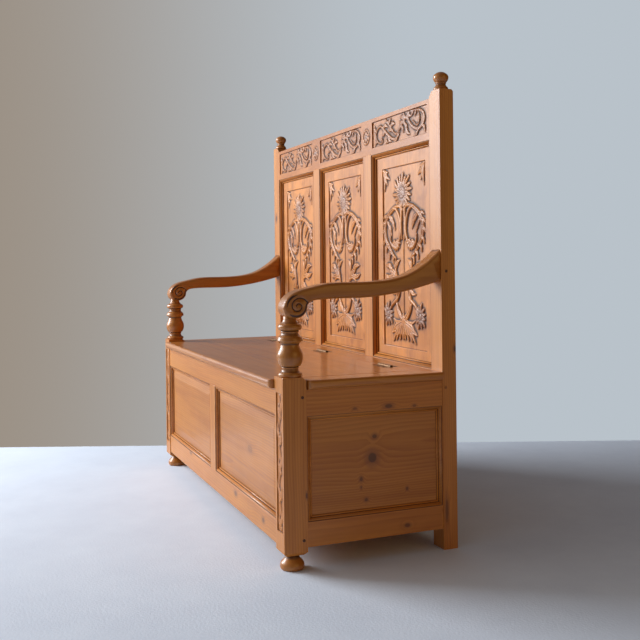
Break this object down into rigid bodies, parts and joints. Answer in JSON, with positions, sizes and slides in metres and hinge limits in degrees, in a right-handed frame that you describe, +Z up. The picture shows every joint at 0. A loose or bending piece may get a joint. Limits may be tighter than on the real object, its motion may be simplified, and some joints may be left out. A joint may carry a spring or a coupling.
{
  "type": "settle bench",
  "caption": "Joined wooden settle with a box seat under a hinged lid, panelled front and ends, scrolled arms on turned supports, a tall carved panel back, finials and bun feet.",
  "frame": {"origin": "centre of the footprint of the whole bench, lid overhang included, at floor level", "axes": "+X along the bench, to the right seen from the front; +Y towards the back; +Z up; the front faces -Y"},
  "size_m": [1.292, 0.484, 1.22],
  "materials": {
    "frame_wood": "waxed honey pine with knots, worn edges",
    "panels": "waxed honey pine with knots",
    "carved_wood": "waxed pine, dark in the hollows of the carving",
    "mouldings": "waxed pine, dark in the quirks",
    "turned_wood": "polished pine, glossy",
    "arms": "polished pine, glossy",
    "seat_wood": "worn waxed pine with a soft sheen",
    "inner_wood": "plain pine without wax",
    "pegs": "dark end grain",
    "hinges": "darkened iron",
    "hinge_screws": "darkened iron"
  },
  "bodies": {
    "root": {"arm_left": "arms", "arm_right": "arms", "arm_support_left": "turned_wood", "arm_support_right": "turned_wood", "back_muntin_left": "frame_wood", "back_muntin_right": "frame_wood", "back_panel_left": "carved_wood", "back_panel_middle": "carved_wood", "back_panel_mouldings_left": "mouldings", "back_panel_mouldings_middle": "mouldings", "back_panel_mouldings_right": "mouldings", "back_panel_right": "carved_wood", "back_post_left": "frame_wood", "back_post_right": "frame_wood", "back_seat_rail": "frame_wood", "back_top_rail": "carved_wood", "box_back_panel": "inner_wood", "box_back_rail": "inner_wood", "end_bottom_rail_left": "frame_wood", "end_bottom_rail_right": "frame_wood", "end_panel_left": "panels", "end_panel_mouldings_left": "mouldings", "end_panel_mouldings_right": "mouldings", "end_panel_right": "panels", "end_top_rail_left": "frame_wood", "end_top_rail_right": "frame_wood", "finial_left": "turned_wood", "finial_right": "turned_wood", "floor_bearer_front": "inner_wood", "floor_bearer_rear": "inner_wood", "floor_board_1": "inner_wood", "floor_board_2": "inner_wood", "floor_board_3": "inner_wood", "floor_board_4": "inner_wood", "floor_board_5": "inner_wood", "foot_left": "turned_wood", "foot_right": "turned_wood", "frame_pegs": "pegs", "front_bottom_rail": "frame_wood", "front_muntin": "frame_wood", "front_panel_left": "panels", "front_panel_mouldings_left": "mouldings", "front_panel_mouldings_right": "mouldings", "front_panel_right": "panels", "front_post_left": "frame_wood", "front_post_right": "frame_wood", "front_top_rail": "frame_wood", "hinge_pins": "hinges", "hinge_seat_leaves": "hinges", "hinge_seat_screws": "hinge_screws", "seat_end_strip_left": "seat_wood", "seat_end_strip_right": "seat_wood", "seat_ledger": "inner_wood", "seat_rear_strip": "seat_wood"},
    "lid": {"lid": "seat_wood", "lid_batten_left": "inner_wood", "lid_batten_right": "inner_wood", "hinge_lid_leaves": "hinges", "hinge_lid_screws": "hinge_screws"}
  },
  "joints": [
    {"name": "lid_hinge", "type": "hinge", "parent": "root", "child": "lid", "pos_m": [0, 0.134, 0.453], "axis": [-1, 0, 0], "range_deg": [0, 100]}
  ]
}
